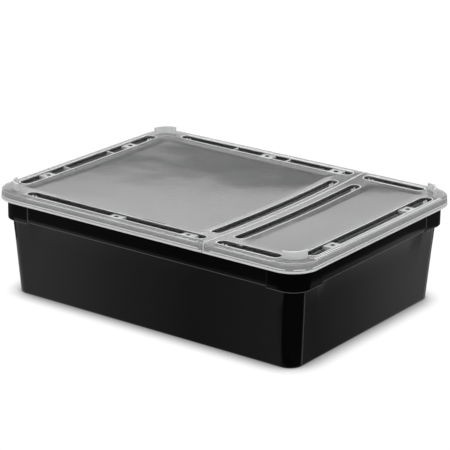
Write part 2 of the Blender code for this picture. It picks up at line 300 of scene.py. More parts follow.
def ring(bm, half, radius, z, centre=(0.0, 0.0), steps=CORNER_STEPS, pitch=0.012, cuts_x=(), cuts_y=()):
    """The edges of a level rounded rectangle. Its straight sides are divided at the cuts and about a pitch
    apart."""
    quad = bmesh.ops.create_grid(bm, x_segments=1, y_segments=1, size=1.0)["verts"]
    for vert in quad:
        vert.co = (vert.co.x * half[0], vert.co.y * half[1], 0.0)
    rounded = bmesh.ops.bevel(bm, geom=quad, offset=radius, segments=steps, affect="VERTICES", profile=0.5,
                              material=-1)
    face = rounded["verts"][0].link_faces[0]
    edges = list(face.edges)
    bmesh.ops.delete(bm, geom=[face], context="FACES_ONLY")
    for axis, cuts in ((0, cuts_x), (1, cuts_y)):
        for cut in cuts:
            for place in (-cut, cut):
                crossing = [e for e in edges
                            if (e.verts[0].co[axis] - place) * (e.verts[1].co[axis] - place) < 0]
                for edge in crossing:
                    start, end = edge.verts
                    part = (place - start.co[axis]) / (end.co[axis] - start.co[axis])
                    edges.append(bmesh.utils.edge_split(edge, start, part)[0])
    for edge in [e for e in edges if e.calc_length() > 1.3 * pitch]:
        count = round(edge.calc_length() / pitch) - 1
        split = bmesh.ops.subdivide_edges(bm, edges=[edge], cuts=max(1, count))
        edges += [e for e in split["geom_split"] if isinstance(e, bmesh.types.BMEdge) and e not in edges]
    for vert in once(v for e in edges for v in e.verts):
        vert.co += Vector((*centre, z))
    return edges


def refit(verts, old, new, centre=(0.0, 0.0)):
    """Moves points on one rounded rectangle onto another. Each is (half length, half width, radius, z)."""
    for vert in verts:
        for axis in (0, 1):
            place = vert.co[axis] - centre[axis]
            old_flat = old[axis] - old[2]
            new_flat = new[axis] - new[2]
            beyond = abs(place) - old_flat
            if beyond > 0:
                moved = new_flat + beyond * new[2] / old[2]
            else:
                moved = abs(place) * new_flat / old_flat
            vert.co[axis] = centre[axis] + math.copysign(moved, place)
        vert.co.z = new[3]


def far_side(made):
    """The points, and the edges between them, that an extrusion of edges has made."""
    verts = [g for g in made if isinstance(g, bmesh.types.BMVert)]
    ends = set(verts)
    return verts, [g for g in made if isinstance(g, bmesh.types.BMEdge) and ends.issuperset(g.verts)]


def loft(bm, edges, sections, centre=(0.0, 0.0), finishes=""):
    """Carries a ring of edges, which lies on the first section, through the other sections. The digits of
    finishes give the material of each span. It returns the last ring of edges."""
    for number, (old, new) in enumerate(zip(sections, sections[1:])):
        made = bmesh.ops.extrude_edge_only(bm, edges=edges)["geom"]
        verts, edges = far_side(made)
        for face in made:
            if isinstance(face, bmesh.types.BMFace) and number < len(finishes):
                face.material_index = int(finishes[number])
        refit(verts, old, new, centre)
    return edges


def inset_sections(half, radius, steps):
    """Sections of one outline at (inset, z) steps. Its corners keep their centres."""
    return [(half[0] - inset, half[1] - inset, radius - inset, z) for inset, z in steps]


def tub_sections():
    """The tub's sections from under its base, up the outside, over the rim and down the inside."""
    outside = inset_sections(TUB_BASE, TUB_CORNER, (
        (0.0090, 0.0006), (0.0075, 0.0006), (0.0068, 0.0002), (0.0062, 0.0), (0.0015, 0.0), (0.0008, 0.0001),
        (0.0003, 0.0004), (0.0, 0.0010),
    ))
    rise = SHOULDER_Z - 0.0006
    for share in (0.02, 0.25, 0.5, 0.75, 1.0):
        outside.append((
            TUB_BASE[0] + (TUB_SHOULDER[0] - TUB_BASE[0]) * share,
            TUB_BASE[1] + (TUB_SHOULDER[1] - TUB_BASE[1]) * share,
            TUB_CORNER,
            0.0012 + (rise - 0.0012) * share,
        ))
    collar = inset_sections(TUB_COLLAR, COLLAR_CORNER, (
        (0.0033, SHOULDER_Z - 0.0001), (0.0029, SHOULDER_Z), (0.0009, SHOULDER_Z),
        (0.0004, SHOULDER_Z + 0.0001), (0.0001, SHOULDER_Z + 0.0004), (0.0, SHOULDER_Z + 0.0009),
        (0.0, SHOULDER_Z + 0.0060), (0.0, COLLAR_Z - 0.0040), (0.0, COLLAR_Z - 0.0004), (-0.0003, COLLAR_Z),
    ))
    rim = inset_sections(TUB_RIM, RIM_CORNER, (
        (0.0006, COLLAR_Z), (0.0001, COLLAR_Z + 0.0003), (0.0, COLLAR_Z + 0.0008), (0.0, RIM_Z - 0.0007),
        (0.0002, RIM_Z - 0.0002), (0.0007, RIM_Z), (0.0014, RIM_Z), (0.0019, RIM_Z - 0.0002),
        (0.0021, RIM_Z - 0.0007), (0.0021, COLLAR_Z + TUB_WALL + 0.0004), (0.0024, COLLAR_Z + TUB_WALL),
    ))
    inside = inset_sections(TUB_COLLAR, COLLAR_CORNER, (
        (TUB_WALL - 0.0003, COLLAR_Z + TUB_WALL), (TUB_WALL, COLLAR_Z + TUB_WALL - 0.0004),
        (TUB_WALL, SHOULDER_Z + TUB_WALL + 0.0006), (TUB_WALL + 0.0006, SHOULDER_Z + TUB_WALL),
    ))
    inner_top = (TUB_SHOULDER[0] - TUB_WALL, TUB_SHOULDER[1] - TUB_WALL)
    inner_low = (TUB_BASE[0] - TUB_WALL, TUB_BASE[1] - TUB_WALL)
    inner_corner = TUB_CORNER - TUB_WALL
    shelf = SHOULDER_Z + TUB_WALL
    inside.append((inner_top[0] + 0.0004, inner_top[1] + 0.0004, inner_corner + 0.0004, shelf))
    inside.append((*inner_top, inner_corner, shelf - 0.0006))
    inside.append((inner_low[0] + 0.0003, inner_low[1] + 0.0003, inner_corner, 0.0050))
    inside += inset_sections(inner_low, inner_corner, (
        (0.0001, 0.0040), (0.0008, 0.0026), (0.0022, 0.0020), (0.0060, 0.0020),
    ))
    return outside + collar + rim + inside


def round_pads(bm):
    """Pushes the collar out and its lower edge down round the four corners, and marks the edges that get a
    painted highlight.
    """
    # The edge mask is a painted highlight: thin paler lines along the collar's lower edge, the pads' sides
    # and the corner edges of the ends.
    edge = bm.verts.layers.float.new("edge")
    flat = (TUB_COLLAR[0] - COLLAR_CORNER, TUB_COLLAR[1] - COLLAR_CORNER)
    near = (TUB_COLLAR[0] - PAD_REACH[0], TUB_COLLAR[1] - PAD_REACH[1])
    lower_edge = SHOULDER_Z + 0.0001
    for vert in bm.verts:
        x, y, z = abs(vert.co.x), abs(vert.co.y), vert.co.z
        beyond = Vector((max(0.0, x - flat[0]), max(0.0, y - flat[1])))
        outside = beyond.length > COLLAR_CORNER - 0.0012
        on_pad = x > near[0] + 1e-6 and y > near[1] + 1e-6
        if outside and lower_edge - 1e-6 < z < lower_edge + 0.0004:
            vert[edge] = 1.0
        corner_start = TUB_BASE[1] - TUB_CORNER + (TUB_SHOULDER[1] - TUB_BASE[1]) * z / SHOULDER_Z
        on_end = x > TUB_BASE[0] - 0.0005 and z < SHOULDER_Z - 0.0004
        if on_end and abs(y - corner_start) < END_EDGE:
            vert[edge] = 0.55
        if outside and z > SHOULDER_Z and (abs(x - near[0]) < 1e-6 or abs(y - near[1]) < 1e-6):
            vert[edge] = 1.0
        if not on_pad:
            continue
        if beyond.length > 0.009 and SHOULDER_Z - 0.0007 < z < SHOULDER_Z + 0.0012:
            vert.co.z -= PAD_DROP
        if outside and SHOULDER_Z - 0.0002 < z < COLLAR_Z + 0.0001:
            push = beyond.normalized() * PAD_PROUD
            vert.co.x += math.copysign(push.x, vert.co.x)
            vert.co.y += math.copysign(push.y, vert.co.y)
    return bm


def tub_mesh():
    """The tub as one closed shell, with points where its corners and pads start."""
    bm = bmesh.new()
    sections = tub_sections()
    first = sections[0]
    cuts = []
    for axis in (0, 1):
        near = TUB_COLLAR[axis] - PAD_REACH[axis]
        squeeze = (TUB_BASE[axis] - TUB_CORNER) / (TUB_COLLAR[axis] - COLLAR_CORNER)
        corner = TUB_BASE[axis] - TUB_CORNER - 0.0005
        cuts.append((corner, near * squeeze, (near - 0.0004) * squeeze, (near + 0.0004) * squeeze))
    edges = ring(bm, first[:2], first[2], first[3], pitch=0.02, cuts_x=cuts[0], cuts_y=cuts[1])
    bmesh.ops.contextual_create(bm, geom=edges)
    edges = loft(bm, edges, sections)
    bmesh.ops.contextual_create(bm, geom=edges)
    bmesh.ops.recalc_face_normals(bm, faces=bm.faces)
    return round_pads(bm)


def moulded_surface():
    """Shader group for a moulded face: a gloss with fine scratches and specks of dust, masks of the dust and
    of the clouds left by the flow, and fine grain with slow waves as a normal."""
    group = bpy.data.node_groups.new("moulded_surface", "ShaderNodeTree")
    for name, low in (("Grain Depth", 0.00001), ("Wave Depth", 0.0001), ("Roughness", 0.2), ("Scuffs", 0.1),
                      ("Dust", 0.1)):
        socket = group.interface.new_socket(name, in_out="INPUT", socket_type="NodeSocketFloat")
        socket.default_value = low
    for name, kind in (("Roughness", "Float"), ("Dust", "Float"), ("Cloud", "Float"), ("Normal", "Vector")):
        group.interface.new_socket(name, in_out="OUTPUT", socket_type="NodeSocket" + kind)
    given = node(group, "NodeGroupInput", "given", (-1400, 0))
    place = node(group, "ShaderNodeTexCoord", "place", (-1400, -400)).outputs["Object"]

    grain = node(group, "ShaderNodeTexNoise", "mould grain", (-1100, -500))
    feed(group, grain, Vector=place, Scale=1400.0, Detail=3.0, Roughness=0.6)
    wave = node(group, "ShaderNodeTexNoise", "sink waves", (-1100, -750))
    feed(group, wave, Vector=place, Scale=28.0, Detail=1.0)
    cloud = node(group, "ShaderNodeTexNoise", "flow clouds", (-1100, -1000))
    feed(group, cloud, Vector=place, Scale=14.0, Detail=4.0, Distortion=1.4)

    stretched = node(group, "ShaderNodeMapping", "scratch direction", (-1100, 200))
    feed(group, stretched, Vector=place, Rotation=(0.3, 0.2, 0.5), Scale=(26.0, 620.0, 620.0))
    scratch = node(group, "ShaderNodeTexNoise", "scratches", (-900, 200))
    feed(group, scratch, Vector=stretched.outputs[0], Scale=1.0, Detail=2.0)
    fine = node(group, "ShaderNodeMapRange", "only the deepest", (-700, 200))
    feed(group, fine, Value=scratch.outputs[0], From_Min=0.66, From_Max=0.74)
    scuffs = node(group, "ShaderNodeMath", "scuffs", (-450, 200), operation="MULTIPLY")
    feed(group, scuffs, _0=fine.outputs[0], _1=given.outputs["Scuffs"])

    speck = node(group, "ShaderNodeTexNoise", "specks", (-900, -100))
    feed(group, speck, Vector=place, Scale=900.0, Detail=2.0)
    settled = node(group, "ShaderNodeMapRange", "settled specks", (-700, -100))
    feed(group, settled, Value=speck.outputs[0], From_Min=0.62, From_Max=0.80)
    facing = node(group, "ShaderNodeSeparateXYZ", "facing up", (-900, -300))
    feed(group, facing, Vector=node(group, "ShaderNodeNewGeometry", "face", (-1100, -300)).outputs["Normal"])
    upward = node(group, "ShaderNodeMapRange", "level faces", (-700, -300))
    feed(group, upward, Value=facing.outputs["Z"], From_Min=0.5, From_Max=0.95)
    dusty = node(group, "ShaderNodeMath", "dust on level faces", (-500, -200), operation="MULTIPLY")
    feed(group, dusty, _0=settled.outputs[0], _1=upward.outputs[0])
    dust = node(group, "ShaderNodeMath", "dust", (-300, -200), operation="MULTIPLY")
    feed(group, dust, _0=dusty.outputs[0], _1=given.outputs["Dust"])

    worn = node(group, "ShaderNodeMath", "worn gloss", (-200, 100), operation="MULTIPLY_ADD")
    feed(group, worn, _0=scuffs.outputs[0], _1=0.4, _2=given.outputs["Roughness"])
    hazy = node(group, "ShaderNodeMath", "dusty gloss", (0, 100), operation="MULTIPLY_ADD")
    feed(group, hazy, _0=dust.outputs[0], _1=0.5, _2=worn.outputs[0])
    uneven = node(group, "ShaderNodeMath", "uneven gloss", (200, 100), operation="MULTIPLY_ADD")
    feed(group, uneven, _0=cloud.outputs[0], _1=0.04, _2=hazy.outputs[0])

    fine_height = node(group, "ShaderNodeMath", "grain height", (-700, -500), operation="MULTIPLY")
    feed(group, fine_height, _0=grain.outputs[0], _1=given.outputs["Grain Depth"])
    height = node(group, "ShaderNodeMath", "height", (-450, -600), operation="MULTIPLY_ADD")
    feed(group, height, _0=wave.outputs[0], _1=given.outputs["Wave Depth"], _2=fine_height.outputs[0])
    bump = node(group, "ShaderNodeBump", "moulded relief", (0, -600))
    feed(group, bump, Strength=1.0, Distance=1.0, Height=height.outputs[0])
    out = node(group, "NodeGroupOutput", "results", (500, 0))
    feed(group, out, Roughness=uneven.outputs[0], Dust=dust.outputs[0], Cloud=cloud.outputs[0],
         Normal=bump.outputs[0])
    return group


moulded = moulded_surface()


def use_moulded(tree, **values):
    """Places the moulded surface group in a material, with the material's own values."""
    placed = node(tree, "ShaderNodeGroup", "moulded surface", (-900, 0), node_tree=moulded)
    return feed(tree, placed, **values)


def mix_colour(tree, label, place, share, first, second):
    """A mix of two colours by a mask."""
    mix = node(tree, "ShaderNodeMix", label, place, data_type="RGBA")
    feed(tree, mix, _0=share, _6=first, _7=second)
    return mix.outputs[2]


TUB_BLACK = (0.0016, 0.0016, 0.0017, 1.0)
TUB_CLOUD = (0.0021, 0.0021, 0.0022, 1.0)
# The pale grey of the painted highlight on the tub's edges.
TUB_PAINTED_HIGHLIGHT = (0.11, 0.11, 0.11, 1.0)
TUB_DUST = (0.05, 0.05, 0.048, 1.0)


def black_polypropylene():
    """Glossy black polypropylene, faintly cloudy and dusty, with a painted highlight: paler lines along the
    marked edges.
    """
    material = bpy.data.materials.new("black_polypropylene")
    material.use_nodes = True
    tree = material.node_tree
    surface = use_moulded(tree, Grain_Depth=0.0000016, Wave_Depth=0.000008, Roughness=0.065, Scuffs=0.05,
                          Dust=0.10)
    # Painted highlight: the edge mask lightens the black towards pale grey along the marked edges.
    painted_highlight = node(tree, "ShaderNodeAttribute", "rubbed edge", (-900, 300), attribute_name="edge")
    colour = mix_colour(tree, "flow", (-600, 300), surface.outputs["Cloud"], TUB_BLACK, TUB_CLOUD)
    colour = mix_colour(tree, "dusted", (-400, 300), surface.outputs["Dust"], colour, TUB_DUST)
    colour = mix_colour(tree, "painted_highlight", (-200, 300), painted_highlight.outputs["Fac"], colour, TUB_PAINTED_HIGHLIGHT)
    shader = tree.nodes["Principled BSDF"]
    feed(tree, shader, Base_Color=colour, Roughness=surface.outputs["Roughness"],
         Normal=surface.outputs["Normal"])
    return material


tub_shell = link_mesh("tub_shell", tub_mesh(), [black_polypropylene()])
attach(tub_shell, "tub")
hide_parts("tub")


# ------------------------------------------------------------------------------------------------------
# Lid. One thin injection moulding in natural polypropylene. Round its edges run pressed troughs with raised
# lips, its two panels are shallow pans that sag a little, and its skirt closes over the tub's rim. It is
# built as one closed shell and then parted along the hinge.
flap_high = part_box("feeding_flap")[1]
LID_HALF = (flap_high.x, flap_high.y)
LID_CORNER = 0.0240
LID_TOP = 0.0938
LID_WALL = 0.0015
HINGE_X = 0.0655
HINGE_GAP = 0.0007
TROUGH_HALF = 0.0054
HINGE_TROUGH_HALF = 0.0049
TROUGH_INSET = 0.0120
TROUGH_LENGTH = 0.0915
HINGE_TROUGH_END = 0.0860
TROUGH_DEPTH = 0.0036
SIDE_TROUGHS = ((-0.1260, 0.0600), (0.0730, 0.1330))
HINGE_TROUGHS_X = (0.0565, 0.0795)
BRIDGE_HALF = 0.0065
BRIDGE_DROP = 0.0009
RIB_HALF = 0.0008
AIR_HOLE = 0.0021
END_BRIDGES_Y = (-0.0570, 0.0570)
END_RIBS_Y = (-0.0300, 0.0300)
SIDE_BRIDGES_X = (-0.0310, 0.0430)
SIDE_RIBS_X = (-0.0670, -0.0090)
BRIDGE_REACH = TROUGH_HALF + 0.0002
NUB_PLACES = (0.0045, 0.0080)
NUB_HALF = (0.0007, 0.0006)
PAN_CORNER = 0.0100
PAN_Y = 0.1010
PANS = ((-0.1410, 0.0500, 0.6), (0.0860, 0.1410, 0.25))
PAN_PITCH = 0.0055
SAG = 0.0038
SAG_MARGIN = 0.0060
WAVE = 0.00016
SLOW_WAVES = (16.0, 22.0, 4.2)
FINE_WAVES = (38.0, 50.0, 1.7)
FINE_SHARE = 0.4

# The finishes by thickness of the section: see lid_finishes. The lip finish also carries a painted highlight,
# and the deep and bore finishes a painted shade. The digits in the spans below are their numbers.
PANEL, LIP, SKIRT_FACE, DEEP, BORE, PLATE, BRIDGE, POST = range(8)
SKIRT = ((0.0017, LID_TOP), (0.00115, LID_TOP - 0.00008), (0.00075, LID_TOP - 0.0004),
         (0.00055, LID_TOP - 0.0009), (0.00045, 0.0900), (0.00040, 0.0872), (0.00015, 0.0867), (0.0, 0.0862),
         (0.0, 0.0857), (0.00025, 0.0854), (0.0012, 0.0854), (0.00145, 0.0856), (0.0015, 0.0860),
         (0.0022, 0.0866), (0.0022, 0.0870), (0.0015, 0.0878), (0.0015, 0.0915), (0.0019, LID_TOP - LID_WALL))
SKIRT_FINISH = "02222111111222222"
TROUGH_TOP = ((-0.0010, 0.0), (-0.0009, 0.00012), (-0.0007, 0.0003), (-0.0005, 0.00036), (-0.00028, 0.00033),
              (-0.00008, 0.00018), (0.00002, -0.0001), (0.00012, -0.0026), (0.0003, -0.0032),
              (0.0008, -0.00355), (0.0016, -TROUGH_DEPTH))
TROUGH_FINISH = "01111333333"
UNDER_FINISH = str(DEEP) * 5
TROUGH_UNDER = ((-0.0013, -0.0015), (-0.0012, -0.0018), (-0.00115, -0.0042), (-0.0007, -0.00475),
                (0.0, -0.0048), (0.0016, -0.0048))
PAN_TOP = ((0.0, 0.0), (0.00035, -0.00006), (0.0009, -0.00025), (0.0056, -0.0016), (0.0063, -0.00175),
           (0.0072, -0.0018))
END_TROUGH_X = LID_HALF[0] - TROUGH_INSET
SIDE_TROUGH_Y = LID_HALF[1] - TROUGH_INSET


def trough_places():
    """(centre, half size, air holes) of each trough."""
    places = []
    for x in (-END_TROUGH_X, END_TROUGH_X):
        holes = [(x, y) for y in END_BRIDGES_Y]
        places.append(((x, 0.0), (TROUGH_HALF, TROUGH_LENGTH), holes))
    for x in HINGE_TROUGHS_X:
        middle = (HINGE_TROUGH_END - TROUGH_LENGTH) / 2
        places.append(((x, middle), (HINGE_TROUGH_HALF, (HINGE_TROUGH_END + TROUGH_LENGTH) / 2), []))
    for y in (-SIDE_TROUGH_Y, SIDE_TROUGH_Y):
        for start, stop in SIDE_TROUGHS:
            holes = [(x, y) for x in SIDE_BRIDGES_X if start < x < stop]
            places.append((((start + stop) / 2, y), ((stop - start) / 2, TROUGH_HALF), holes))
    return places


def fill_between(bm, edges, finish=PANEL):
    """Fills the level region between rings of edges, in the finish of that number."""
    made = bmesh.ops.triangle_fill(bm, edges=edges, use_beauty=True, normal=(0.0, 0.0, 1.0))["geom"]
    for face in made:
        if isinstance(face, bmesh.types.BMFace):
            face.material_index = finish


def hole_ring(bm, place, z):
    """The edges of an air hole."""
    made = bmesh.ops.create_circle(bm, segments=16, radius=AIR_HOLE,
                                   matrix=Matrix.Translation((place[0], place[1], z)))["verts"]
    return once(e for v in made for e in v.link_edges)


def drop_ring(bm, edges, depth):
    """Draws a ring of edges straight down and returns the lower ring."""
    made = bmesh.ops.extrude_edge_only(bm, edges=edges)["geom"]
    verts, lower = far_side(made)
    bmesh.ops.translate(bm, verts=verts, vec=(0.0, 0.0, -depth))
    return lower


def press_trough(bm, centre, half, steps, finishes, holes):
    """One trough's wall and floor round its holes. It returns the ring at the lid's plane."""
    radius = 0.98 * min(half)
    sections = inset_sections(half, radius, [(inset, LID_TOP + z) for inset, z in steps])
    first = sections[0]
    foot = ring(bm, first[:2], first[2], first[3], centre)
    fill_between(bm, loft(bm, foot, sections, centre, finishes) + holes, int(finishes[-1]))
    return foot


def press_pan(bm, low_x, high_x, share, drop):
    """One panel: a sloped border and a floor of rings, of a share of the full depth. It returns the ring at
    the lid's plane."""
    half = ((high_x - low_x) / 2, PAN_Y)
    centre = ((low_x + high_x) / 2, 0.0)
    steps = [(inset, LID_TOP + z * share - drop) for inset, z in PAN_TOP]
    sections = inset_sections(half, PAN_CORNER, steps)
    inner = sections[-1]
    for number in range(1, int((min(half) - PAN_TOP[-1][0]) / PAN_PITCH)):
        inset = number * PAN_PITCH
        sections.append((inner[0] - inset, inner[1] - inset, inner[2], inner[3]))
    first = sections[0]
    foot = ring(bm, first[:2], first[2], first[3], centre, steps=6, pitch=0.006)
    fill_between(bm, loft(bm, foot, sections, centre))
    return foot


def lid_shell():
    """The whole lid as one closed shell, flat and uncut."""
    bm = bmesh.new()
    outline = inset_sections(LID_HALF, LID_CORNER, SKIRT)
    first = outline[0]
    rim = ring(bm, first[:2], first[2], first[3])
    top = list(rim)
    under = loft(bm, rim, outline, finishes=SKIRT_FINISH)
    for centre, half, places in trough_places():
        holes = [hole_ring(bm, place, LID_TOP - TROUGH_DEPTH) for place in places]
        top += press_trough(bm, centre, half, TROUGH_TOP, TROUGH_FINISH, sum(holes, []))
        lower = sum((drop_ring(bm, hole, -TROUGH_DEPTH - TROUGH_UNDER[-1][1]) for hole in holes), [])
        under += press_trough(bm, centre, half, TROUGH_UNDER, UNDER_FINISH, lower)
    for low_x, high_x, share in PANS:
        top += press_pan(bm, low_x, high_x, share, 0.0)
        under += press_pan(bm, low_x, high_x, share, LID_WALL)
    fill_between(bm, top, PLATE)
    fill_between(bm, under)
    bmesh.ops.recalc_face_normals(bm, faces=bm.faces)
    return bm


def cut_half(bm, place, keep):
    """Cuts the shell across at x = place, keeps the side that keep points to, and closes the cut."""
    everything = bm.verts[:] + bm.edges[:] + bm.faces[:]
    bmesh.ops.bisect_plane(bm, geom=everything, dist=1e-6, plane_co=(place, 0, 0), plane_no=(keep, 0, 0),
                           clear_inner=True)
    open_edges = [e for e in bm.edges if e.is_boundary]
    bmesh.ops.triangle_fill(bm, edges=open_edges, use_beauty=True, normal=(-keep, 0.0, 0.0))
    bmesh.ops.recalc_face_normals(bm, faces=bm.faces)
    return bm


def finish_new(bm, known, finish=LIP):
    """Gives the faces that are not in known a finish, and turns them outwards."""
    made = [f for f in bm.faces if f not in known]
    for face in made:
        face.material_index = finish
    bmesh.ops.recalc_face_normals(bm, faces=made)
    if sum(f.calc_center_median().dot(f.normal) * f.calc_area() for f in made) < 0:
        bmesh.ops.reverse_faces(bm, faces=made)


def add_bridge(bm, place, half, finish, hole=False):
    """A block across a trough, with an air hole or without. Its ends run into the trough's walls."""
    crown = min(0.0004, min(half) / 3)
    top = LID_TOP - BRIDGE_DROP
    foot = LID_TOP - TROUGH_DEPTH - 0.0001
    steps = ((crown, top), (crown * 0.3, top - crown * 0.3), (0.0, top - crown), (0.0, foot))
    sections = inset_sections(half, min(0.0006, 0.8 * min(half)), steps)
    known = set(bm.faces)
    first = sections[0]
    rim = ring(bm, first[:2], first[2], first[3], place, steps=3, pitch=0.02)
    base = loft(bm, rim, sections, place)
    if not hole:
        fill_between(bm, rim)
        fill_between(bm, base)
        finish_new(bm, known, finish)
        return
    mouth = hole_ring(bm, place, top)
    fill_between(bm, rim + mouth)
    before_bore = set(bm.faces)
    lower = drop_ring(bm, mouth, top - foot)
    bore = [f for f in bm.faces if f not in before_bore]
    fill_between(bm, base + lower)
    finish_new(bm, known, finish)
    # The bore's walls take the near-black finish, a painted shade inside the air hole.
    for face in bore:
        face.material_index = BORE


def add_crossings(bm, side):
    """The bridges, ribs and gate nubs of the troughs on one side of the hinge."""
    end_x = END_TROUGH_X * side
    hinge_x = HINGE_TROUGHS_X[0 if side < 0 else 1]
    start = SIDE_TROUGHS[0 if side < 0 else 1][0]
    for y in END_BRIDGES_Y:
        add_bridge(bm, (end_x, y), (BRIDGE_REACH, BRIDGE_HALF), BRIDGE, hole=True)
    for place in NUB_PLACES:
        add_bridge(bm, (end_x, TROUGH_LENGTH - place), NUB_HALF, LIP)
        add_bridge(bm, (hinge_x, HINGE_TROUGH_END - place), NUB_HALF, LIP)
        for y in (-SIDE_TROUGH_Y, SIDE_TROUGH_Y):
            add_bridge(bm, (start + place, y), NUB_HALF, LIP)
    if side > 0:
        return
    for y in END_RIBS_Y:
        add_bridge(bm, (end_x, y), (BRIDGE_REACH, RIB_HALF), BRIDGE)
    for x in SIDE_BRIDGES_X:
        for y in (-SIDE_TROUGH_Y, SIDE_TROUGH_Y):
            add_bridge(bm, (x, y), (BRIDGE_HALF, BRIDGE_REACH), BRIDGE, hole=True)
    for x in SIDE_RIBS_X:
        add_bridge(bm, (x, SIDE_TROUGH_Y), (RIB_HALF, BRIDGE_REACH), BRIDGE)


def waves_at(x, y, waves):
    """Smooth random waves at a point: so many a metre along and across, and where in the pattern they lie."""
    return noise.noise(Vector((x * waves[0], y * waves[1], waves[2])))


def hang_at(x, y):
    """How far the lid hangs at a point: a slow sag, nothing at its edges, and shallow waves in its panels."""
    along = max(0.0, 1.0 - (x / (LID_HALF[0] - SAG_MARGIN)) ** 2)
    across = along * max(0.0, 1.0 - (y / (LID_HALF[1] - SAG_MARGIN)) ** 2)
    waves = waves_at(x, y, SLOW_WAVES) + FINE_SHARE * waves_at(x, y, FINE_WAVES)
    return SAG * across + WAVE * waves * min(1.0, 4.0 * across)


def hang(bm):
    """Lets every point of a piece of the lid hang."""
    for vert in bm.verts:
        vert.co.z -= hang_at(vert.co.x, vert.co.y)
    return bm


def natural_polypropylene(name, transmission, whiteness, roughness, ior=1.5):
    """Milky polypropylene. The less a section lets through, the whiter it looks."""
    material = bpy.data.materials.new(name)
    material.use_nodes = True
    tree = material.node_tree
    surface = use_moulded(tree, Grain_Depth=0.0000003, Wave_Depth=0.00005, Roughness=roughness, Scuffs=0.25,
                          Dust=0.05)
    clear = (whiteness, whiteness + 0.006, whiteness + 0.006, 1.0)
    cloudy = (whiteness + 0.05, whiteness + 0.056, whiteness + 0.056, 1.0)
    colour = mix_colour(tree, "flow", (-400, 300), surface.outputs["Cloud"], clear, cloudy)
    shader = tree.nodes["Principled BSDF"]
    feed(tree, shader, Base_Color=colour, Roughness=surface.outputs["Roughness"],
         Normal=surface.outputs["Normal"], IOR=ior, Transmission_Weight=transmission)
    return material


lid_finishes = [
    natural_polypropylene("natural_polypropylene", 0.945, 0.76, 0.06),
    # Whiter and less clear for the lips, bars, grips, beads and nubs: partly the whiter look of thicker
    # plastic, partly a painted highlight for their bright lines.
    natural_polypropylene("natural_polypropylene_thick_painted_highlight", 0.38, 0.84, 0.18),
    natural_polypropylene("natural_polypropylene_skirt", 0.75, 0.80, 0.14),
    # Darker and with a weaker gloss for the troughs' walls and floors, above and below: painted shade in the
    # recesses.
    natural_polypropylene("natural_polypropylene_deep_painted_shade", 0.970, 0.70, 0.12, ior=1.25),
    # Near black for the walls of the air holes: painted shade inside the holes.
    natural_polypropylene("natural_polypropylene_bore_painted_shade", 0.85, 0.02, 0.30),
    natural_polypropylene("natural_polypropylene_plate", 0.87, 0.78, 0.10),
    natural_polypropylene("natural_polypropylene_bridge", 0.62, 0.80, 0.16),
    natural_polypropylene("natural_polypropylene_post", 0.46, 0.83, 0.16),
]


# ------------------------------------------------------------------------------------------------------
# Stacking posts. Quarter rings moulded on the lid, one round each corner, that hold the next tub in place.
POST_RADIUS = 0.0145
POST_WALL = 0.0014
POST_TOP = cad_box[1][2]
POST_SINK = 0.0006


def add_post(bm, side_x, side_y):
    """A quarter ring with a rounded top, convex towards the lid's corner."""
    known = set(bm.faces)
    verts = bmesh.ops.create_grid(bm, x_segments=1, y_segments=1, size=0.5)["verts"]
    foot = LID_TOP - POST_SINK
    for vert in verts:
        outer = vert.co.x > 0
        top = vert.co.y > 0
        vert.co = (POST_RADIUS - (0.0 if outer else POST_WALL), 0.0, POST_TOP if top else foot)
    crown = [v for v in verts if v.co.z > LID_TOP]
    bmesh.ops.bevel(bm, geom=crown, offset=0.0004, segments=2, affect="VERTICES", profile=0.5, material=-1)
    profile = next(f for f in bm.faces if f not in known)
    bmesh.ops.spin(bm, geom=[profile], cent=(0, 0, 0), axis=(0, 0, 1), angle=math.pi / 2, steps=14)
    made = [f for f in bm.faces if f not in known]
    turn = math.atan2(side_y, side_x) - math.pi / 4
    middle = Vector((side_x * (LID_HALF[0] - LID_CORNER), side_y * (LID_HALF[1] - LID_CORNER), 0.0))
    placed = Matrix.Translation(middle) @ Matrix.Rotation(turn, 4, "Z")
    bmesh.ops.transform(bm, matrix=placed, verts=once(v for f in made for v in f.verts))
    finish_new(bm, known, POST)


# ------------------------------------------------------------------------------------------------------
# Snap bars. Raised bars with round ends along the skirt, where the bead inside it grips the tub's rim.
BAR_Z = 0.0883
BAR_INSET = 0.00044
BAR_SIZE = (0.00042, 0.00055)
BAR_NOSE = 0.35
NOSE_LENGTH = 0.0006
BEND_STEP = math.radians(8)
BAR_HINGE_LID = 0.0609
BAR_HINGE_FLAP = 0.0729
BAR_GAPS = (math.radians(19.5), math.radians(35.9), math.radians(58.5), math.radians(76.9))


def start_bar(bm, place, heading):
    """The small end face of a bar: an upright oval across the heading."""
    matrix = Matrix.Translation(place) @ Matrix.Rotation(heading, 4, "Z")
    matrix = matrix @ Matrix.Rotation(math.pi / 2, 4, "Y")
    matrix = matrix @ Matrix.Diagonal((BAR_SIZE[1] * BAR_NOSE, BAR_SIZE[0] * BAR_NOSE, 1.0, 1.0))
    made = bmesh.ops.create_circle(bm, cap_ends=True, segments=8, radius=1.0, matrix=matrix)["verts"]
    return made[0].link_faces[0]


def push_bar(bm, face, vec):
    """Draws a bar straight on and returns its new end."""
    made = bmesh.ops.extrude_face_region(bm, geom=[face, *face.edges])["geom"]
    bmesh.ops.translate(bm, verts=[g for g in made if isinstance(g, bmesh.types.BMVert)], vec=vec)
    return next(g for g in made if isinstance(g, bmesh.types.BMFace))


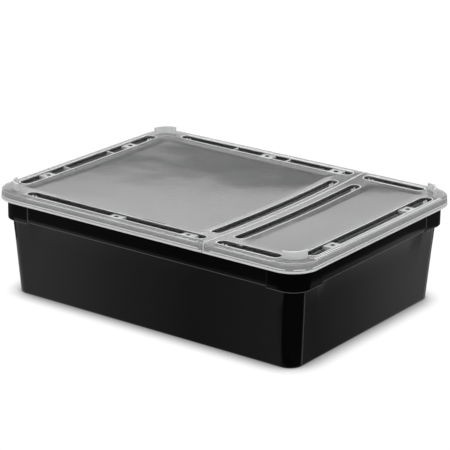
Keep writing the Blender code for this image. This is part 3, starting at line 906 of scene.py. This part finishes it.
def bend_bar(bm, face, corner, angle):
    """Draws a bar round a corner of the lid and returns its new end."""
    middle = (corner[0] * (LID_HALF[0] - LID_CORNER), corner[1] * (LID_HALF[1] - LID_CORNER), 0.0)
    steps = max(2, round(abs(angle) / BEND_STEP))
    end = [face, *face.edges]
    made = bmesh.ops.spin(bm, geom=end, cent=middle, axis=(0, 0, 1), angle=angle, steps=steps)["geom_last"]
    return next(g for g in made if isinstance(g, bmesh.types.BMFace))


def swell(bm, face, share):
    """Widens or narrows a bar's end about its middle."""
    centre = face.calc_center_median()
    bmesh.ops.scale(bm, vec=(share, share, share), space=Matrix.Translation(-centre), verts=list(face.verts))


def run_bar(bm, place, heading, moves):
    """A bar from place along its moves: each is a straight vector, or a corner and an angle."""
    known = set(bm.faces)
    ahead = Vector((math.cos(heading), math.sin(heading), 0.0))
    face = push_bar(bm, start_bar(bm, place, heading), ahead * NOSE_LENGTH)
    swell(bm, face, 1 / BAR_NOSE)
    for move in moves:
        if len(move) == 3:
            face = push_bar(bm, face, move)
        else:
            face = bend_bar(bm, face, *move)
            ahead = Matrix.Rotation(move[1], 3, "Z") @ ahead
    face = push_bar(bm, face, ahead * NOSE_LENGTH)
    swell(bm, face, BAR_NOSE)
    finish_new(bm, known)


SIDE_Y = LID_HALF[1] - BAR_INSET
FLAT_X = LID_HALF[0] - LID_CORNER
FLAT_Y = LID_HALF[1] - LID_CORNER
QUARTER = math.pi / 2


def corner_point(angle):
    """The place on the flap's near corner, at an angle round from its long side."""
    reach = LID_CORNER - BAR_INSET
    return (FLAT_X + reach * math.sin(angle), -FLAT_Y - reach * math.cos(angle), BAR_Z)


def flap_bars(bm):
    """The flap's bars: one along each side into its corner, a short one in each corner, one along the end."""
    known = set(bm.faces)
    run_bar(bm, (BAR_HINGE_FLAP, -SIDE_Y, BAR_Z), 0.0,
            [(FLAT_X - BAR_HINGE_FLAP - NOSE_LENGTH, 0.0, 0.0), ((1, -1), BAR_GAPS[0])])
    run_bar(bm, corner_point(BAR_GAPS[1]), BAR_GAPS[1], [((1, -1), BAR_GAPS[2] - BAR_GAPS[1])])
    near = [f for f in bm.faces if f not in known]
    copy = bmesh.ops.duplicate(bm, geom=near)["geom"]
    bmesh.ops.scale(bm, vec=(1, -1, 1), verts=[g for g in copy if isinstance(g, bmesh.types.BMVert)])
    bmesh.ops.reverse_faces(bm, faces=[g for g in copy if isinstance(g, bmesh.types.BMFace)])
    run_bar(bm, corner_point(BAR_GAPS[3]), BAR_GAPS[3],
            [((1, -1), QUARTER - BAR_GAPS[3]), (0.0, 2 * FLAT_Y, 0.0), ((1, 1), QUARTER - BAR_GAPS[3])])


def lid_bars(bm):
    """The main lid's one bar, from the hinge round its end and back to the hinge."""
    run_bar(bm, (BAR_HINGE_LID, SIDE_Y, BAR_Z), math.pi,
            [(-BAR_HINGE_LID - FLAT_X + NOSE_LENGTH, 0.0, 0.0), ((-1, 1), QUARTER), (0.0, -2 * FLAT_Y, 0.0),
             ((-1, -1), QUARTER), (BAR_HINGE_LID + FLAT_X, 0.0, 0.0)])


# ------------------------------------------------------------------------------------------------------
# Grip ribs. A row of short ribs over the flap's outer edge, where a finger lifts it.
GRIP_PITCH = 0.0032
GRIP_REACH = 0.0944
GRIP_SIZE = (0.0036, 0.0014, 0.0010)
GRIP_TILT = math.radians(8)
GRIP_EDGE = 0.00022
GRIP_X = LID_HALF[0] - 0.0031
GRIP_Z = LID_TOP - 0.00022


def add_grips(bm):
    """The ribs as small tilted blocks that run a little into the plate."""
    count = 2 * round(GRIP_REACH / GRIP_PITCH)
    for number in range(count + 1):
        known = set(bm.faces)
        y = -GRIP_REACH + 2 * GRIP_REACH * number / count
        placed = Matrix.Translation((GRIP_X, y, GRIP_Z)) @ Matrix.Rotation(GRIP_TILT, 4, "Y")
        placed = placed @ Matrix.Diagonal((*GRIP_SIZE, 1.0))
        made = bmesh.ops.create_cube(bm, size=1.0, matrix=placed)["verts"]
        edges = once(e for v in made for e in v.link_edges)
        bmesh.ops.bevel(bm, geom=edges, offset=GRIP_EDGE, segments=1, affect="EDGES", profile=0.5,
                        material=-1)
        finish_new(bm, known)


# ------------------------------------------------------------------------------------------------------
# Living hinge. A web a third of a millimetre thick, moulded with the lid, that joins the lid and its flap. A
# small bead stiffens the flap's side of it, along the top and down the skirt.
BEAD_WIDTH = 0.0008
BEAD_X = HINGE_X + 0.0011
BEAD_PROUD = 0.00035
BEAD_SINK = 0.0005
BEAD_DROP = (0.0862, LID_TOP - 0.0004)
WEB_HALF = (0.0007, 0.1183)
WEB_TOP = 0.0937
WEB_THICK = 0.00035


def add_bead(bm, place, size):
    """A small bar with softened edges, divided along its length so that it can hang with the lid."""
    known = set(bm.faces)
    matrix = Matrix.Translation(place) @ Matrix.Diagonal((*size, 1.0))
    made = bmesh.ops.create_cube(bm, size=1.0, matrix=matrix)["verts"]
    edges = once(e for v in made for e in v.link_edges)
    bmesh.ops.bevel(bm, geom=edges, offset=0.0002, segments=2, affect="EDGES", profile=0.5, material=-1)
    made = [f for f in bm.faces if f not in known]
    long_edges = once(e for f in made for e in f.edges if e.calc_length() > 0.05)
    if long_edges:
        bmesh.ops.subdivide_edges(bm, edges=long_edges, cuts=20, use_grid_fill=True)
    finish_new(bm, known)


def add_hinge_bead(bm):
    """The bead across the top, and its short drop down the skirt on each side."""
    add_bead(bm, (BEAD_X, 0.0, LID_TOP + (BEAD_PROUD - BEAD_SINK) / 2),
             (BEAD_WIDTH, 2 * (LID_HALF[1] - 2 * BEAD_WIDTH), BEAD_PROUD + BEAD_SINK))
    low, high = BEAD_DROP
    for side in (-1, 1):
        add_bead(bm, (BEAD_X, side * (LID_HALF[1] - BEAD_WIDTH / 2), (low + high) / 2),
                 (BEAD_WIDTH, BEAD_WIDTH, high - low))


def hinge_web_mesh():
    """A thin sheet with its top at the web's height, divided so that it can hang."""
    bm = bmesh.new()
    verts = bmesh.ops.create_grid(bm, x_segments=12, y_segments=30, size=1.0)["verts"]
    for vert in verts:
        vert.co = (HINGE_X + vert.co.x * WEB_HALF[0], vert.co.y * WEB_HALF[1], WEB_TOP)
    bmesh.ops.solidify(bm, geom=bm.verts[:] + bm.edges[:] + bm.faces[:], thickness=WEB_THICK)
    if max(v.co.z for v in bm.verts) > WEB_TOP + 1e-6:
        bmesh.ops.translate(bm, verts=bm.verts[:], vec=(0.0, 0.0, -WEB_THICK))
    bmesh.ops.recalc_face_normals(bm, faces=bm.faces)
    return hang(bm)


# ------------------------------------------------------------------------------------------------------
# The lid's two halves and the web between them, each with its own details, hung to shape.
whole = lid_shell()
flap_half = cut_half(whole.copy(), HINGE_X + HINGE_GAP / 2, 1)
lid_half = cut_half(whole, HINGE_X - HINGE_GAP / 2, -1)
add_crossings(lid_half, -1)
add_crossings(flap_half, 1)
lid_bars(lid_half)
flap_bars(flap_half)
add_grips(flap_half)
add_hinge_bead(flap_half)
for side_y in (-1, 1):
    add_post(lid_half, -1, side_y)
    add_post(flap_half, 1, side_y)
lid_panel = link_mesh("lid_panel", hang(lid_half), lid_finishes)
flap_panel = link_mesh("flap_panel", hang(flap_half), lid_finishes)
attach(lid_panel, "lid")
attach(flap_panel, "flap")
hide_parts("main_lid")
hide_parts("feeding_flap")
hinge_web = link_mesh("hinge_web", hinge_web_mesh(), [lid_finishes[SKIRT_FACE]])
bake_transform(hinge_web)
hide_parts("living_hinge")
